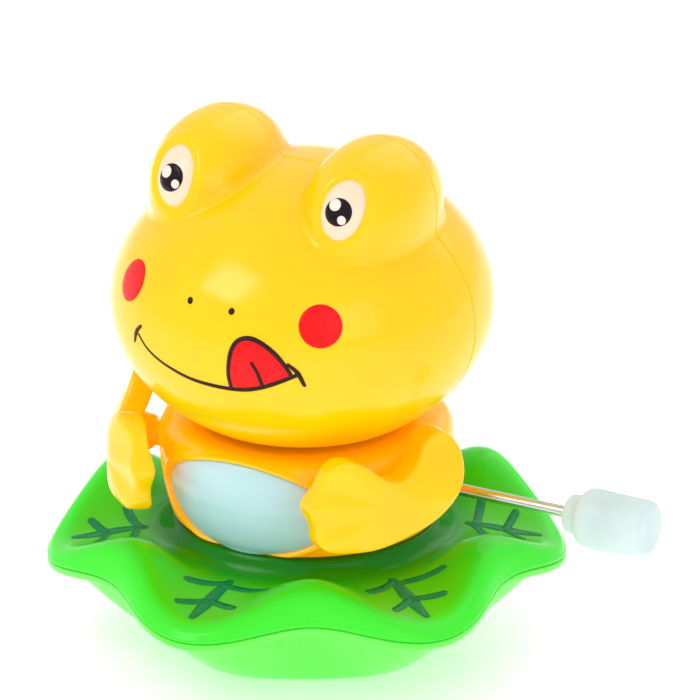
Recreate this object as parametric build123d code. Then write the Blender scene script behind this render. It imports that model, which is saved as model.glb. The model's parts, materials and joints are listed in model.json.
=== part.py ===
from build123d import *
import os
from math import acos, atan2, cos, degrees, exp, hypot, pi, radians, sin, sqrt, tan

# A wind-up frog in a round collar on a six-lobed wavy leaf. The frog faces -Y, its left side is +X and Z is up.
# Z = 0 is the flat bottom of the leaf's lower shell; the wheels reach TREAD_DROP below it. All lengths are in mm.

# ---- leaf and lower shell
LEAF_RADIUS = 47.5
LEAF_WAVES = 6
WAVE_HEIGHT = 4.0
LEAF_THICKNESS = 1.6
SHELL_THICKNESS = 1.5
PARTING_GAP = 0.12
COLLAR_RADIUS = 24.7
COLLAR_INNER = 22.6
COLLAR_TOP = 24.7
LEDGE_INNER = 19.0
LEDGE_BOTTOM = 16.5
LEDGE_TOP = 18.3
FLOOR_RADIUS = 22.2
FLOOR_THICKNESS = 1.8
BOWL_RADIUS = 43.0
BOWL_WALL = 1.8
LEAF_POST_RADIUS = 3.0
LEAF_POST_CIRCLE = 20.3
LEAF_POST_ANGLES = (90, 199, 341)

# ---- body
BODY_RADIUS = 27.1
BODY_WALL = 2.0
DECK_HEIGHT = 44.1
NECK_RADIUS = 14.0
NECK_BORE = 12.6
NECK_TOP = 47.0
BELLY_HEIGHT = 34.3
BELLY_HALF_WIDTH = 17.4
BELLY_HALF_HEIGHT = 8.7
BELLY_LIP = 1.4
BODY_SCREW_X = 19.0
BODY_SCREW_Z = 28.5

# ---- head
HEAD_CENTRE = (0, -1.5, 67.2)
HEAD_SIZE = (35.15, 35.15, 26.35)
HEAD_WALL = 2.0
HEAD_BOTTOM = 46.0
DOME_CENTRE = (16.0, -4.0, 88.5)
DOME_SIZE = (11.7, 16.5, 13.8)
EYE_CENTRE = (17.1, -19.9, 93.7)
EYE_HALF_WIDTH = 4.4
EYE_HALF_HEIGHT = 5.9
EYE_PITCH = 26
EYE_PROUD = 0.3
PIVOT_HEIGHT = 58.0
PIVOT_RADIUS = 1.2
PIVOT_HALF_LENGTH = 13.5
RIB_X = (10.8, 13.4)
RIB_HALF_HEIGHT = 3.4
HEAD_SCREW_X = 22.0
HEAD_SCREW_Z = 66.0

# ---- arms: a slab in a vertical plane whose outward normal points ARM_YAW from +X
ARM_YAW = -28.8
ARM_INNER = 31.6
ARM_THICKNESS = 5.0
ARM_PIVOT = (-10.5, 38.0)
ARM_BOSS_RADIUS = 3.4
ARM_BOSS_START = 26.5
ARM_STUB_RADIUS = 2.2
ARM_STUB_END = 18.6
CLIP_RADIUS = 3.2
CLIP_THICKNESS = 1.2

# ---- movement: arbors lie along X, positions are (y, z)
MODULE = 0.5
PRESSURE_ANGLE = 20
TOOTH_FILL = 0.40
ADDENDUM = 0.80
DEDENDUM = 1.20
MAIN_TEETH = 36
PINION_TEETH = 12
SECOND_TEETH = 30
THIRD_TEETH = 24
STAR_TEETH = 15
CASE_INNER = 8.0
CASE_WALL = 1.4
CASE_BOTTOM = 2.0
WINDING_AXIS = (0.0, 34.8)
SHAFT_RADIUS = 1.125
SHAFT_START = -9.3
SHAFT_END = 69.0
ARBOR_RADIUS = 0.8
AXLE_RADIUS = 1.0
ESCAPE_RADIUS = 0.6
RUNNING_FIT = 0.05
TREAD_DROP = 0.8
DRIVE_WHEEL_RADIUS = 6.5
DRIVE_HUB_RADIUS = 4.6
DRIVE_WHEEL_WIDTH = 3.2
DRIVE_WHEEL_X = 10.0
DRIVE_Y = 6.0
CAM_RADIUS = 3.0
CAM_OFFSET = 1.6
FORK_HALF_GAP = 6.5
FORK_PRONG = 0.9
LEVER_X = (-7.6, -6.4)
SPRING_X = (-6.0, -1.0)
SPRING_STRIP = 0.35
SPRING_PITCH = 0.75
SPRING_START = 1.5
SPRING_TURNS = 9
GUIDE_Y = -15.6
GUIDE_YAW = 20
GUIDE_RADIUS = 3.8
GUIDE_WIDTH = 3.0
GUIDE_PIN_RADIUS = 0.7
GUIDE_CHEEK = 1.9

# ---- knob
KNOB_COLLAR = (54.7, 57.5)
KNOB_BODY = (57.5, 71.5)
KNOB_COLLAR_RADIUS = 3.65
KNOB_RADIUS = 5.5

# ---- screws
SCREW_HEAD_RADIUS = 2.0
SCREW_HEAD_HEIGHT = 1.0
SCREW_RADIUS = 0.8
SCREW_LENGTH = 4.2
CASE_SCREW_SPOTS = ((11.2, -9.8), (-11.2, -9.8), (6.2, 11.3), (-6.2, 11.3))

SIZE = 200


# ---------------------------------------------------------------- helpers
def along_x(sketch, start, end):
    """Extrude a sketch drawn as (y, z) from x = start to x = end."""
    placed = Plane(origin=(start, 0, 0), x_dir=(0, 1, 0), z_dir=(1, 0, 0)) * sketch
    return extrude(placed, amount=end - start, dir=(1, 0, 0))


def rod_x(spot, radius, start, end):
    return along_x(Pos(*spot) * Circle(radius), start, end)


def ring_x(spot, outer, inner, start, end):
    return rod_x(spot, outer, start, end) - rod_x(spot, inner, start - 1, end + 1)


def rod_y(x, z, radius, start, end):
    placed = Plane(origin=(x, start, z), x_dir=(1, 0, 0), z_dir=(0, 1, 0)) * Circle(radius)
    return extrude(placed, amount=end - start, dir=(0, 1, 0))


def rod_z(x, y, radius, start, end):
    return Pos(x, y, (start + end) / 2) * Cylinder(radius, end - start)


def block(x, y, z):
    """A box between pairs of limits."""
    size = [limits[1] - limits[0] for limits in (x, y, z)]
    middle = [(limits[0] + limits[1]) / 2 for limits in (x, y, z)]
    return Pos(*middle) * Box(*size)


def ellipsoid(centre, size):
    return Pos(*centre) * scale(Sphere(1), by=tuple(float(s) for s in size))


def turned(points):
    """Revolve a closed (r, z) outline about Z."""
    outline = make_face(Polyline(*[(r, 0, z) for r, z in points], close=True))
    return revolve(outline, axis=Axis.Z)


def mirrored(solid):
    return mirror(solid, about=Plane.YZ)


def front_half():
    return block((-SIZE, SIZE), (-SIZE, 0), (-SIZE, SIZE))


def rear_half():
    return block((-SIZE, SIZE), (0, SIZE), (-SIZE, SIZE))


def link(p, q, width):
    """A round-ended bar between two (y, z) points."""
    length = hypot(q[0] - p[0], q[1] - p[1])
    middle = ((p[0] + q[0]) / 2, (p[1] + q[1]) / 2)
    angle = degrees(atan2(q[1] - p[1], q[0] - p[0]))
    return Pos(*middle) * Rot(0, 0, angle) * SlotCenterToCenter(length, width)


# ---------------------------------------------------------------- leaf and lower shell
def wave(radius):
    """Height of the leaf's ripple, growing outward from the collar."""
    grow = min(max((radius - 26) / 18, 0), 1)
    return WAVE_HEIGHT * grow * grow * (3 - 2 * grow)


def leaf_height(radius, angle):
    level = 18.8 + 4.2 * (1 - exp(-(radius - 25) / 5.5))
    curl = max(radius - 44.5, 0) / 3
    return level - 1.1 * curl**2 + wave(radius) * cos(radians(LEAF_WAVES * angle))


def parting_height(radius, angle):
    return leaf_height(radius, angle) - LEAF_THICKNESS - PARTING_GAP


def bowl_height(radius, angle):
    part = max(radius - FLOOR_RADIUS, 0) / (BOWL_RADIUS - FLOOR_RADIUS)
    rim = 18.8 + 4.2 * (1 - exp(-(BOWL_RADIUS - 25) / 5.5)) - LEAF_THICKNESS - SHELL_THICKNESS
    ripple = WAVE_HEIGHT * cos(radians(LEAF_WAVES * angle))
    return rim * part**1.75 + ripple * part**3


def wavy_ring(height, inner, outer, steps, thickness):
    """A ring that follows height(radius, angle), made of one sector a wave and extruded along Z."""
    span = 360 / LEAF_WAVES
    grid = []
    for i in range(steps + 1):
        radius = inner + (outer - inner) * i / steps
        angles = [span * (k / 12 - 0.5) for k in range(13)]
        grid.append(
            [Vector(radius * cos(radians(a)), radius * sin(radians(a)), height(radius, a)) for a in angles]
        )
    face = Face.make_surface_from_array_of_points(grid, tol=0.002)
    sector = Solid.extrude(face, Vector(0, 0, thickness))
    ring = Part() + sector
    for k in range(1, LEAF_WAVES):
        ring += Rot(0, 0, span * k) * sector
    return ring


def post_spots():
    return [
        (LEAF_POST_CIRCLE * cos(radians(a)), LEAF_POST_CIRCLE * sin(radians(a))) for a in LEAF_POST_ANGLES
    ]


def leaf_top():
    leaf = wavy_ring(leaf_height, 24.0, LEAF_RADIUS, 24, -LEAF_THICKNESS)
    collar = turned(
        [
            (LEDGE_INNER, LEDGE_BOTTOM),
            (COLLAR_RADIUS, LEDGE_BOTTOM),
            (COLLAR_RADIUS, COLLAR_TOP - 0.8),
            (COLLAR_RADIUS - 0.8, COLLAR_TOP),
            (COLLAR_INNER, COLLAR_TOP),
            (COLLAR_INNER, LEDGE_TOP),
            (LEDGE_INNER, LEDGE_TOP),
        ]
    )
    leaf += collar
    for x, y in post_spots():
        leaf += rod_z(x, y, LEAF_POST_RADIUS, FLOOR_THICKNESS + 0.2, LEDGE_BOTTOM + 0.5)
        leaf -= rod_z(x, y, SCREW_RADIUS, FLOOR_THICKNESS, FLOOR_THICKNESS + SCREW_LENGTH)
    return leaf


def guide_frame():
    return Pos(0, GUIDE_Y, 0) * Rot(0, 0, GUIDE_YAW)


def base_bowl():
    shell = wavy_ring(bowl_height, FLOOR_RADIUS - 0.4, 42.3, 12, BOWL_WALL)
    shell += wavy_ring(parting_height, 41.0, LEAF_RADIUS, 10, -SHELL_THICKNESS)
    shell += rod_z(0, 0, FLOOR_RADIUS, 0, FLOOR_THICKNESS)
    for side in (-1, 1):
        middle = side * (DRIVE_WHEEL_X + DRIVE_WHEEL_WIDTH / 2)
        slot = block((middle - 2.4, middle + 2.4), (DRIVE_Y - 6.2, DRIVE_Y + 6.2), (-1, 6))
        shell -= slot
    shell -= guide_frame() * block((-2.1, 2.1), (-4.4, 4.4), (-1, 4))
    for x, y in list(CASE_SCREW_SPOTS) + post_spots():
        shell -= rod_z(x, y, SCREW_HEAD_RADIUS + 0.1, -1, SCREW_HEAD_HEIGHT + 0.1)
        shell -= rod_z(x, y, SCREW_RADIUS + 0.1, 0, FLOOR_THICKNESS + 1)
    return shell


def screw(length):
    """A pan-head screw whose head rests on Z = 0 from below and whose shank points up."""
    head = rod_z(0, 0, SCREW_HEAD_RADIUS, -SCREW_HEAD_HEIGHT, 0)
    drive = Box(2.4, 0.5, 1.0) + Box(0.5, 2.4, 1.0)
    return head - Pos(0, 0, -SCREW_HEAD_HEIGHT) * drive + rod_z(0, 0, SCREW_RADIUS, 0, length)


def base_screws():
    spots = list(CASE_SCREW_SPOTS) + post_spots()
    seat = SCREW_HEAD_HEIGHT + 0.1
    return Compound(children=[Pos(x, y, seat) * screw(SCREW_LENGTH) for x, y in spots])


# ---------------------------------------------------------------- body
def body_outline(grow):
    """The body's outside as a turned solid, grown by an offset; a shrunk one keeps the step's floor thick."""
    spigot = 22.35 + min(grow, 0)
    step = COLLAR_TOP + 0.3 + max(-grow, 0)
    bottom = LEDGE_TOP + 0.02
    top = DECK_HEIGHT + grow
    profile = [(24.9, step), (26.2, 30.5), (BODY_RADIUS, 38.5), (26.4, 42.2 + grow / 2), (25.2, 43.4 + grow)]
    swell = Spline(*[(r + grow, 0, z) for r, z in profile + [(23.4, top)]])
    lower = Polyline((0, 0, bottom), (spigot, 0, bottom), (spigot, 0, step), (24.9 + grow, 0, step))
    upper = Polyline((23.4 + grow, 0, top), (0, 0, top), (0, 0, bottom))
    return revolve(make_face(Curve() + [lower, swell, upper]), axis=Axis.Z)


def belly_prism(grow):
    placed = Plane(origin=(0, -10, BELLY_HEIGHT), x_dir=(1, 0, 0), z_dir=(0, -1, 0))
    outline = Ellipse(BELLY_HALF_WIDTH + grow, BELLY_HALF_HEIGHT + grow)
    return extrude(placed * outline, amount=30, dir=(0, -1, 0))


def body_shell():
    shell = body_outline(0) - body_outline(-BODY_WALL)
    shell -= rod_z(0, 0, 20.2, LEDGE_TOP - 1, 21)
    shell += rod_z(0, 0, NECK_RADIUS, DECK_HEIGHT - BODY_WALL, NECK_TOP)
    shell -= rod_z(0, 0, NECK_BORE, DECK_HEIGHT - 3, NECK_TOP + 1)
    return shell - rod_x(WINDING_AXIS, 1.6, 20, 30)


def body_screw_seat(x, z, seat, end):
    """Hole for a screw that comes from +Y: head recess beyond the seat, then the shank."""
    return rod_y(x, z, SCREW_HEAD_RADIUS + 0.2, seat, SIZE) + rod_y(x, z, SCREW_RADIUS, end, seat)


def bosses_y(spots, radius, start, end):
    bosses = Part()
    for x, z in spots:
        bosses += rod_y(x, z, radius, start, end)
    return bosses


def side_spots(x, z):
    return ((x, z), (-x, z))


def body_front():
    half = body_shell() & front_half()
    lip = (body_outline(0.7) - body_outline(-1)) & (belly_prism(BELLY_LIP) - belly_prism(0))
    half += lip & block((-SIZE, SIZE), (-SIZE, -10), (COLLAR_TOP + 0.4, SIZE))
    bosses = bosses_y(side_spots(BODY_SCREW_X, BODY_SCREW_Z), 2.6, -20, 0)
    half += bosses & body_outline(-1)
    for x, z in side_spots(BODY_SCREW_X, BODY_SCREW_Z):
        half -= rod_y(x, z, SCREW_RADIUS, -8, 1)
    half -= belly_prism(0.05)
    return half - rod_x(ARM_PIVOT, ARM_STUB_RADIUS + RUNNING_FIT, -30, 30)


def body_rear():
    half = body_shell() & rear_half()
    bosses = bosses_y(side_spots(BODY_SCREW_X, BODY_SCREW_Z), 2.6, 0, 20)
    half += bosses & body_outline(-1)
    for x, z in side_spots(BODY_SCREW_X, BODY_SCREW_Z):
        half -= body_screw_seat(x, z, 11, -1)
    return half


def screws_y(spots, seat, length):
    pieces = []
    for x, z in spots:
        pieces.append(Pos(x, seat, z) * Rot(90, 0, 0) * screw(length))
    return Compound(children=pieces)


def belly_panel():
    panel = (body_outline(0.15) - body_outline(-BODY_WALL)) & belly_prism(0)
    return panel & block((-SIZE, SIZE), (-SIZE, -10), (COLLAR_TOP + 0.4, SIZE))


# ---------------------------------------------------------------- head
def head_form(offset):
    form = ellipsoid(HEAD_CENTRE, [s + offset for s in HEAD_SIZE])
    dome = ellipsoid(DOME_CENTRE, [s + offset for s in DOME_SIZE])
    return form + dome + mirrored(dome)


def eye_prism(grow, depth):
    normal = (0, -cos(radians(EYE_PITCH)), sin(radians(EYE_PITCH)))
    origin = [c - depth * n for c, n in zip(EYE_CENTRE, normal)]
    placed = Plane(origin=origin, x_dir=(1, 0, 0), z_dir=normal)
    return extrude(placed * Ellipse(EYE_HALF_WIDTH + grow, EYE_HALF_HEIGHT + grow), amount=12, dir=normal)


def head_shell():
    shell = head_form(0) - head_form(-HEAD_WALL)
    shell -= block((-SIZE, SIZE), (-SIZE, SIZE), (-SIZE, HEAD_BOTTOM))
    return shell


def head_ribs():
    """Two ribs that hold the ends of the pivot pin, as wide as the head."""
    band = (PIVOT_HEIGHT - RIB_HALF_HEIGHT, PIVOT_HEIGHT + RIB_HALF_HEIGHT)
    rib = block(RIB_X, (-SIZE, SIZE), band)
    ribs = (rib + mirrored(rib)) & head_form(-HEAD_WALL / 2)
    return ribs - rod_x((0, PIVOT_HEIGHT), PIVOT_RADIUS, -20, 20)


def head_front():
    half = (head_shell() + head_ribs()) & front_half()
    half += bosses_y(side_spots(HEAD_SCREW_X, HEAD_SCREW_Z), 2.8, -35, 0) & head_form(-1) & front_half()
    for x, z in side_spots(HEAD_SCREW_X, HEAD_SCREW_Z):
        half -= rod_y(x, z, SCREW_RADIUS, -8, 1)
    window = eye_prism(0.05, 4)
    return half - window - mirrored(window)


def head_rear():
    half = (head_shell() + head_ribs()) & rear_half()
    half += bosses_y(side_spots(HEAD_SCREW_X, HEAD_SCREW_Z), 2.8, 0, 35) & head_form(-1) & rear_half()
    for x, z in side_spots(HEAD_SCREW_X, HEAD_SCREW_Z):
        half -= body_screw_seat(x, z, 16, -1)
    return half


def eye_insert():
    dome = ellipsoid(DOME_CENTRE, [s + EYE_PROUD for s in DOME_SIZE])
    core = ellipsoid(DOME_CENTRE, [s - HEAD_WALL for s in DOME_SIZE])
    return (dome - core) & eye_prism(0, 4)


# ---------------------------------------------------------------- arms
def arm_left():
    """A thick J-shaped slab: upper arm, forearm and a three-lobed webbed hand, on a shoulder stub along X."""
    normal = (cos(radians(ARM_YAW)), sin(radians(ARM_YAW)), 0)
    forward = (normal[1], -normal[0], 0)
    placed = Plane(origin=[ARM_INNER * n for n in normal], x_dir=forward, z_dir=normal)
    flip = placed.y_dir.Z
    outline = [
        (15.4, 29.8),
        (18.8, 31.6),
        (19.2, 35.2),
        (21.6, 40.0),
        (18.6, 43.2),
        (16.4, 47.6),
        (13.2, 49.2),
        (9.0, 46.8),
        (3.4, 44.2),
        (-1.4, 47.0),
        (-5.2, 49.4),
        (-10.6, 49.2),
        (-13.2, 44.6),
        (-11.2, 38.4),
        (-7.0, 34.4),
        (1.4, 31.4),
        (9.6, 29.9),
    ]
    edge = Spline(*[(u, flip * z) for u, z in outline], periodic=True)
    slab = extrude(placed * make_face(edge), amount=ARM_THICKNESS, dir=normal)
    boss = rod_x(ARM_PIVOT, ARM_BOSS_RADIUS, ARM_BOSS_START, 34)
    stub = rod_x(ARM_PIVOT, ARM_STUB_RADIUS, ARM_STUB_END, ARM_BOSS_START + 1)
    return slab + boss + stub


def arm_clip():
    start = ARM_STUB_END + 0.5
    return ring_x(ARM_PIVOT, CLIP_RADIUS, ARM_STUB_RADIUS, start, start + CLIP_THICKNESS)


# ---------------------------------------------------------------- gears
def pitch_radius(teeth):
    return MODULE * teeth / 2


def polar(radius, angle):
    return (radius * cos(angle), radius * sin(angle))


def gear_sketch(teeth):
    """Involute gear outline with one tooth centred on the first axis, thinned for backlash."""
    pitch = pitch_radius(teeth)
    alpha = radians(PRESSURE_ANGLE)
    base = pitch * cos(alpha)
    tip = pitch + ADDENDUM * MODULE
    root = pitch - DEDENDUM * MODULE
    start = max(base, root)
    flank = []
    for k in range(4):
        radius = start + (tip - start) * k / 3
        roll = acos(min(1, base / radius))
        half = pi * TOOTH_FILL / teeth + (tan(alpha) - alpha) - (tan(roll) - roll)
        flank.append((radius, half))
    points = []
    for k in range(teeth):
        centre = 2 * pi * k / teeth
        points.append(polar(root, centre - flank[0][1]))
        points += [polar(radius, centre - half) for radius, half in flank]
        points += [polar(radius, centre + half) for radius, half in reversed(flank)]
        points.append(polar(root, centre + flank[0][1]))
    return make_face(Polyline(*points, close=True))


def star_sketch(teeth, tip, root):
    points = []
    for k in range(teeth):
        points.append(polar(tip, 2 * pi * k / teeth))
        points.append(polar(root, 2 * pi * (k + 0.62) / teeth))
    return make_face(Polyline(*points, close=True))


def direction(p, q):
    return atan2(q[1] - p[1], q[0] - p[0])


def mesh_phase(phase, teeth, mate_teeth, heading):
    """Phase of the mate so that its gap meets this gear's tooth along the heading."""
    return heading + pi + pi / mate_teeth - (phase - heading) * teeth / mate_teeth


def meet(p, p_reach, q, q_reach):
    """The point at the given distances from p and q, on the -Y side."""
    gap = hypot(q[0] - p[0], q[1] - p[1])
    along = (gap**2 + p_reach**2 - q_reach**2) / (2 * gap)
    across = sqrt(p_reach**2 - along**2)
    ux, uz = (q[0] - p[0]) / gap, (q[1] - p[1]) / gap
    return (p[0] + along * ux + across * uz, p[1] + along * uz - across * ux)


MAIN_REACH = pitch_radius(MAIN_TEETH + PINION_TEETH)
SECOND_REACH = pitch_radius(SECOND_TEETH + PINION_TEETH)
THIRD_REACH = pitch_radius(THIRD_TEETH + PINION_TEETH)
SECOND_AXIS = (
    WINDING_AXIS[0] + MAIN_REACH * cos(radians(60)),
    WINDING_AXIS[1] - MAIN_REACH * sin(radians(60)),
)
DRIVE_AXIS = (DRIVE_Y, DRIVE_WHEEL_RADIUS - TREAD_DROP)
THIRD_AXIS = meet(SECOND_AXIS, SECOND_REACH, DRIVE_AXIS, THIRD_REACH)
ESCAPE_AXIS = (
    THIRD_AXIS[0] - THIRD_REACH * cos(radians(20)),
    THIRD_AXIS[1] - THIRD_REACH * sin(radians(20)),
)
PALLET_AXIS = (ESCAPE_AXIS[0] - 4.8, ESCAPE_AXIS[1] + 4.3)
GUIDE_HEIGHT = GUIDE_RADIUS - TREAD_DROP

MAIN_PHASE = 0.0
SECOND_PHASE = mesh_phase(MAIN_PHASE, MAIN_TEETH, PINION_TEETH, direction(WINDING_AXIS, SECOND_AXIS))
THIRD_PHASE = mesh_phase(SECOND_PHASE, SECOND_TEETH, PINION_TEETH, direction(SECOND_AXIS, THIRD_AXIS))
DRIVE_PHASE = mesh_phase(THIRD_PHASE, THIRD_TEETH, PINION_TEETH, direction(THIRD_AXIS, DRIVE_AXIS))
ESCAPE_PHASE = mesh_phase(THIRD_PHASE, THIRD_TEETH, PINION_TEETH, direction(THIRD_AXIS, ESCAPE_AXIS))

PILLAR_SPOTS = ((-10.5, 38.7), (11.3, 38.5), (-9.4, 4.2), (11.6, 15.6))
PILLAR_RADIUS = 1.4


def gear(spot, teeth, phase, start, end, bore):
    sketch = Pos(*spot) * Rot(0, 0, degrees(phase)) * gear_sketch(teeth)
    return along_x(sketch, start, end) - rod_x(spot, bore, start - 1, end + 1)


def main_wheel():
    wheel = gear(WINDING_AXIS, MAIN_TEETH, MAIN_PHASE, 5.6, 7.0, SHAFT_RADIUS)
    hub = ring_x(WINDING_AXIS, 2.6, SHAFT_RADIUS, 3.2, 5.7)
    for k in range(5):
        spot = polar(5.2, 2 * pi * k / 5)
        wheel -= rod_x((WINDING_AXIS[0] + spot[0], WINDING_AXIS[1] + spot[1]), 1.5, 5, 8)
    return wheel + hub


def stepped_wheel(spot, teeth, phase, wheel_x, pinion_x, bore):
    """A wheel and a pinion cut with the same phase on one hub."""
    wheel = gear(spot, teeth, phase, wheel_x[0], wheel_x[1], bore)
    return wheel + gear(spot, PINION_TEETH, phase, pinion_x[0], pinion_x[1], bore)


def second_wheel():
    return stepped_wheel(SECOND_AXIS, SECOND_TEETH, SECOND_PHASE, (3.2, 4.4), (4.4, 7.4), ARBOR_RADIUS)


def third_wheel():
    return stepped_wheel(THIRD_AXIS, THIRD_TEETH, THIRD_PHASE, (0.8, 2.0), (2.0, 4.8), ARBOR_RADIUS)


def drive_pinion():
    return gear(DRIVE_AXIS, PINION_TEETH, DRIVE_PHASE, 0.3, 2.5, AXLE_RADIUS)


def escape_wheel():
    star = Pos(*ESCAPE_AXIS) * star_sketch(STAR_TEETH, 4.5, 3.3)
    wheel = along_x(star, -2.8, -2.0) + rod_x(ESCAPE_AXIS, 1.5, -2.0, 0.3)
    wheel -= rod_x(ESCAPE_AXIS, ESCAPE_RADIUS, -4, 1)
    return wheel + gear(ESCAPE_AXIS, PINION_TEETH, ESCAPE_PHASE, 0.3, 2.5, ESCAPE_RADIUS)


def pallet():
    heading = direction(ESCAPE_AXIS, PALLET_AXIS)
    anchor = Pos(*PALLET_AXIS) * Circle(1.4)
    for side in (-1, 1):
        tip = polar(5.9, heading + side * radians(50))
        anchor += link(PALLET_AXIS, (ESCAPE_AXIS[0] + tip[0], ESCAPE_AXIS[1] + tip[1]), 0.8)
    plate = along_x(anchor, -2.9, -1.9)
    return plate - rod_x(PALLET_AXIS, ESCAPE_RADIUS, -4, 0)


def arbor(spot, radius):
    return rod_x(spot, radius, -CASE_INNER - 1.3, CASE_INNER + 1.3)


# ---------------------------------------------------------------- gear case
def case_sketch():
    plate = make_face(
        Polyline(
            (-12.5, CASE_BOTTOM),
            (13.0, CASE_BOTTOM),
            (15.0, 12.0),
            (15.0, 28.0),
            (13.4, 41.0),
            (4.6, 41.0),
            (4.6, PIVOT_HEIGHT + 3.5),
            (-4.6, PIVOT_HEIGHT + 3.5),
            (-4.6, 41.0),
            (-12.6, 41.0),
            (-12.5, 24.0),
            close=True,
        )
    )
    return fillet(plate.vertices().group_by(Axis.Y)[-1], 3.0)


def foot(inner, outer, y):
    return block((inner, outer), y, (FLOOR_THICKNESS, 5.5))


def case_side(side):
    """One wall of the gear case with its bearing holes, feet and neck post."""
    wall = along_x(case_sketch(), CASE_INNER, CASE_INNER + CASE_WALL)
    wall += foot(CASE_INNER, 13.6, (-12.5, -7.2))
    wall += foot(4.2, CASE_INNER + CASE_WALL, (9.2, 13.4))
    if side < 0:
        wall = mirrored(wall)
    bearings = (
        (WINDING_AXIS, SHAFT_RADIUS),
        (SECOND_AXIS, ARBOR_RADIUS),
        (THIRD_AXIS, ARBOR_RADIUS),
        (ESCAPE_AXIS, ESCAPE_RADIUS),
        (PALLET_AXIS, ESCAPE_RADIUS),
        (DRIVE_AXIS, AXLE_RADIUS),
        ((0, PIVOT_HEIGHT), PIVOT_RADIUS),
    )
    for spot, radius in bearings:
        wall -= rod_x(spot, radius + RUNNING_FIT, -20, 20)
    for spot in PILLAR_SPOTS:
        wall -= rod_x(spot, ARBOR_RADIUS, -20, 20)
    for x, y in CASE_SCREW_SPOTS:
        wall -= rod_z(x, y, SCREW_RADIUS, 0, SCREW_HEAD_HEIGHT + 0.1 + SCREW_LENGTH)
    return wall


def case_pillars():
    pillars = []
    for spot in PILLAR_SPOTS:
        pillar = rod_x(spot, PILLAR_RADIUS, -CASE_INNER, CASE_INNER)
        pillars.append(pillar + arbor(spot, ARBOR_RADIUS))
    return Compound(children=pillars)


def mainspring():
    """Flat coil of half-turn arcs; its outer end is an eye around the first pillar."""
    half_step = SPRING_PITCH / 2
    inner, outer = [], []
    for k in range(2 * SPRING_TURNS):
        centre = (half_step if k % 2 else 0, 0)
        radius = SPRING_START + half_step * k
        inner.append(CenterArc(centre, radius, 180 * k, 180))
        outer.append(CenterArc(centre, radius + SPRING_STRIP, 180 * k, 180))
    caps = [Line(inner[0] @ 0, outer[0] @ 0), Line(inner[-1] @ 1, outer[-1] @ 1)]
    coil = make_face(Curve() + inner + outer + caps)
    end = (inner[-1] @ 1).X
    eye_angle = direction(WINDING_AXIS, PILLAR_SPOTS[0])
    reach = hypot(PILLAR_SPOTS[0][0] - WINDING_AXIS[0], PILLAR_SPOTS[0][1] - WINDING_AXIS[1])
    tail = Pos((end + reach) / 2, SPRING_STRIP / 2) * Rectangle(reach - end, SPRING_STRIP)
    eye = Pos(reach, 0) * Circle(PILLAR_RADIUS + SPRING_STRIP)
    strip = coil + tail + eye - Pos(reach, 0) * Circle(PILLAR_RADIUS)
    return along_x(Pos(*WINDING_AXIS) * Rot(0, 0, degrees(eye_angle)) * strip, *SPRING_X)


def nod_cam():
    spot = (WINDING_AXIS[0] + CAM_OFFSET, WINDING_AXIS[1])
    return rod_x(spot, CAM_RADIUS, -7.4, -6.6) - rod_x(WINDING_AXIS, SHAFT_RADIUS, -9, -5)


def head_lever():
    """Inverted fork around the cam, hung from the pivot pin."""
    top, low = 42.0, 31.0
    bridge_low = 40.2
    fork = Pos(0, (top + low) / 2) * Rectangle(2 * (FORK_HALF_GAP + FORK_PRONG), top - low)
    fork -= Pos(0, (bridge_low + low - 1) / 2) * Rectangle(2 * FORK_HALF_GAP, bridge_low - low + 1)
    stem = Pos(0, (PIVOT_HEIGHT + top - 1) / 2) * Rectangle(3.6, PIVOT_HEIGHT - top + 1)
    plate = along_x(fork + stem, *LEVER_X) + rod_x((0, PIVOT_HEIGHT), 3.0, LEVER_X[0], -3.0)
    return plate - rod_x((0, PIVOT_HEIGHT), PIVOT_RADIUS, -10, 0)


# ---------------------------------------------------------------- wheels
def drive_hub(side):
    start = DRIVE_WHEEL_X if side > 0 else -DRIVE_WHEEL_X - DRIVE_WHEEL_WIDTH
    return ring_x(DRIVE_AXIS, DRIVE_HUB_RADIUS, AXLE_RADIUS, start, start + DRIVE_WHEEL_WIDTH)


def drive_tyre(side):
    start = DRIVE_WHEEL_X if side > 0 else -DRIVE_WHEEL_X - DRIVE_WHEEL_WIDTH
    tread = rod_x(DRIVE_AXIS, DRIVE_WHEEL_RADIUS, start, start + DRIVE_WHEEL_WIDTH)
    tread = fillet(tread.edges().filter_by(GeomType.CIRCLE), 0.5)
    return tread - rod_x(DRIVE_AXIS, DRIVE_HUB_RADIUS, start - 1, start + DRIVE_WHEEL_WIDTH + 1)


def drive_axle():
    end = DRIVE_WHEEL_X + DRIVE_WHEEL_WIDTH + 0.4
    return rod_x(DRIVE_AXIS, AXLE_RADIUS, -end, end)


def guide_wheel():
    spot = (0, GUIDE_HEIGHT)
    wheel = rod_x(spot, GUIDE_RADIUS, -GUIDE_WIDTH / 2, GUIDE_WIDTH / 2)
    wheel = fillet(wheel.edges().filter_by(GeomType.CIRCLE), 0.4)
    return guide_frame() * (wheel - rod_x(spot, GUIDE_PIN_RADIUS + RUNNING_FIT, -5, 5))


def guide_pin():
    return guide_frame() * rod_x((0, GUIDE_HEIGHT), GUIDE_PIN_RADIUS, -GUIDE_CHEEK - 1, GUIDE_CHEEK + 1)


def guide_bracket():
    top = GUIDE_HEIGHT + 1.8
    bracket = block((-3.4, 3.4), (-5.2, 5.2), (FLOOR_THICKNESS, FLOOR_THICKNESS + 0.8))
    bracket -= block((-GUIDE_CHEEK, GUIDE_CHEEK), (-4.4, 4.4), (0, 6))
    for side in (-1, 1):
        inner, outer = sorted((side * GUIDE_CHEEK, side * (GUIDE_CHEEK + 1)))
        bracket += block((inner, outer), (-2.2, 2.2), (FLOOR_THICKNESS, top))
    return guide_frame() * (bracket - rod_x((0, GUIDE_HEIGHT), GUIDE_PIN_RADIUS, -6, 6))


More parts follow.
